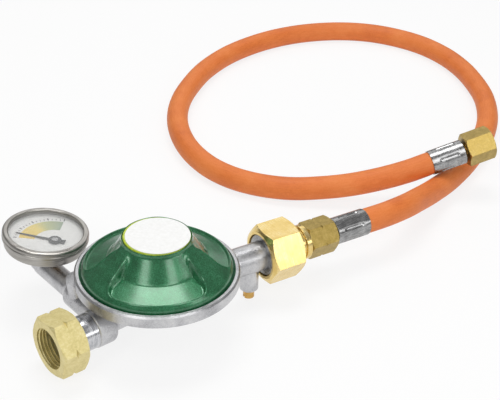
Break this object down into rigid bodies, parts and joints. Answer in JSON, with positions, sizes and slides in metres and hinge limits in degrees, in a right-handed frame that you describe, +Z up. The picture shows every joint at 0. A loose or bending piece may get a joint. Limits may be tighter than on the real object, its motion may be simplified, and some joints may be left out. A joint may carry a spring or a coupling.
{
  "type": "gas regulator",
  "caption": "Low-pressure gas regulator with a diaphragm bowl, a notched inlet nut, a cylinder gauge on a side arm and a hose with screwed ends on its outlet.",
  "frame": {"origin": "Centre of the inlet nut's open mouth, on the inlet axis.", "axes": "+X runs along the inlet axis into the body, +Z is up through the diaphragm and the lid, +Y points to the gauge's side."},
  "size_m": [0.4085, 0.2661, 0.0532],
  "materials": {
    "cast_zinc": "die cast, matt, with machined faces",
    "green_enamel": "metallic green enamel, glossy",
    "lime_plastic": "moulded, glossy",
    "white_label": "bare printed film",
    "turned_brass": "turned",
    "spring_steel": "drawn wire",
    "plated_steel": "bright zinc plated",
    "turned_steel": "turned, with fine rings",
    "stainless": "brushed stainless",
    "pale_brass": "dull, pale",
    "golden_brass": "milled flats, bright",
    "olive_brass": "dull, passivated",
    "black_rubber": "matt",
    "orange_rubber": "smooth, matt, orange",
    "clear_glass": "clear",
    "dial_white": "printed dial",
    "pointer_black": "matt black"
  },
  "bodies": {
    "regulator": {"body_casting": "cast_zinc", "lid": "green_enamel", "top_cap": "lime_plastic", "label_disc": "white_label", "adjusting_screw": "turned_brass", "regulating_spring": "spring_steel", "diaphragm": "black_rubber", "lever_pin": "plated_steel", "inlet_nozzle": "turned_brass", "inlet_spigot": "turned_steel", "inlet_seal": "black_rubber", "inlet_filter": "turned_brass", "gauge_case": "stainless", "gauge_bezel": "stainless", "gauge_lens": "clear_glass", "gauge_dial": "dial_white", "gauge_movement": "turned_brass", "bourdon_tube": "turned_brass", "gauge_stem": "turned_brass", "gauge_seal": "black_rubber", "outlet_washer": "black_rubber", "hose_adaptor": "golden_brass", "hose_tail_near": "turned_brass", "ferrule_near": "plated_steel", "hose": "orange_rubber", "ferrule_far": "plated_steel", "hose_tail_far": "turned_brass"},
    "inlet_nut_body": {"inlet_nut": "pale_brass"},
    "test_screw_body": {"test_screw": "turned_brass"},
    "union_body": {"union_nut": "golden_brass", "union_ring": "plated_steel"},
    "near_nut_body": {"hose_nut_near": "olive_brass"},
    "far_nut_body": {"hose_nut_far": "olive_brass"},
    "diaphragm_body": {"diaphragm_plate": "plated_steel", "diaphragm_stem": "turned_brass"},
    "lever_body": {"lever": "plated_steel"},
    "plunger_body": {"valve_plunger": "turned_brass", "valve_seat_pad": "black_rubber"},
    "pointer_body": {"gauge_pointer": "pointer_black", "pointer_cap": "plated_steel", "pointer_pinion": "turned_brass"},
    "sector_body": {"sector_gear": "turned_brass", "gauge_link": "plated_steel"}
  },
  "joints": [
    {"name": "inlet_nut_turn", "type": "hinge", "parent": "regulator", "child": "inlet_nut_body", "pos_m": [0, 0, 0], "axis": [1, 0, 0], "continuous": true},
    {"name": "union_nut_turn", "type": "hinge", "parent": "regulator", "child": "union_body", "pos_m": [0.12289, -0.00877, 0.0065], "axis": [0.9903, -0.1392, 0], "continuous": true},
    {"name": "near_nut_turn", "type": "hinge", "parent": "regulator", "child": "near_nut_body", "pos_m": [0.14299, -0.01159, 0.0065], "axis": [0.9903, -0.1392, 0], "continuous": true},
    {"name": "far_nut_turn", "type": "hinge", "parent": "regulator", "child": "far_nut_body", "pos_m": [0.28948, -0.00899, 0.01526], "axis": [0.8824, -0.3929, 0.2588], "continuous": true},
    {"name": "test_screw_turn", "type": "hinge", "parent": "regulator", "child": "test_screw_body", "pos_m": [0.1112, -0.00713, 0.0065], "axis": [0, 0, 1], "continuous": true},
    {"name": "diaphragm_slide", "type": "slide", "parent": "regulator", "child": "diaphragm_body", "axis": [0, 0, 1], "range_m": [0, 0.0015], "stiffness_N_per_m": 500, "springref_m": -0.004, "deforming": ["regulating_spring", "diaphragm"]},
    {"name": "lever_turn", "type": "hinge", "parent": "regulator", "child": "lever_body", "pos_m": [0.0685, 0, 0.0048], "axis": [0, 1, 0], "range_deg": [0, 10.74]},
    {"name": "plunger_slide", "type": "slide", "parent": "regulator", "child": "plunger_body", "axis": [-1, 0, 0], "range_m": [0, 0.0009]},
    {"name": "pointer_turn", "type": "hinge", "parent": "regulator", "child": "pointer_body", "pos_m": [0.03427, 0.04817, 0.01948], "axis": [-0.0795, 0.0679, -0.9945], "range_deg": [0, 95], "stiffness_Nm_per_rad": 0.0001},
    {"name": "sector_turn", "type": "hinge", "parent": "regulator", "child": "sector_body", "pos_m": [0.02817, 0.06101, 0.01783], "axis": [0.0795, -0.0679, 0.9945], "range_deg": [0, 15.83]}
  ],
  "couplings": [
    {"joint": "lever_turn", "follows": "diaphragm_slide", "rad_per_m": 125},
    {"joint": "plunger_slide", "follows": "diaphragm_slide", "ratio": 0.6},
    {"joint": "sector_turn", "follows": "pointer_turn", "ratio": 0.16667}
  ]
}
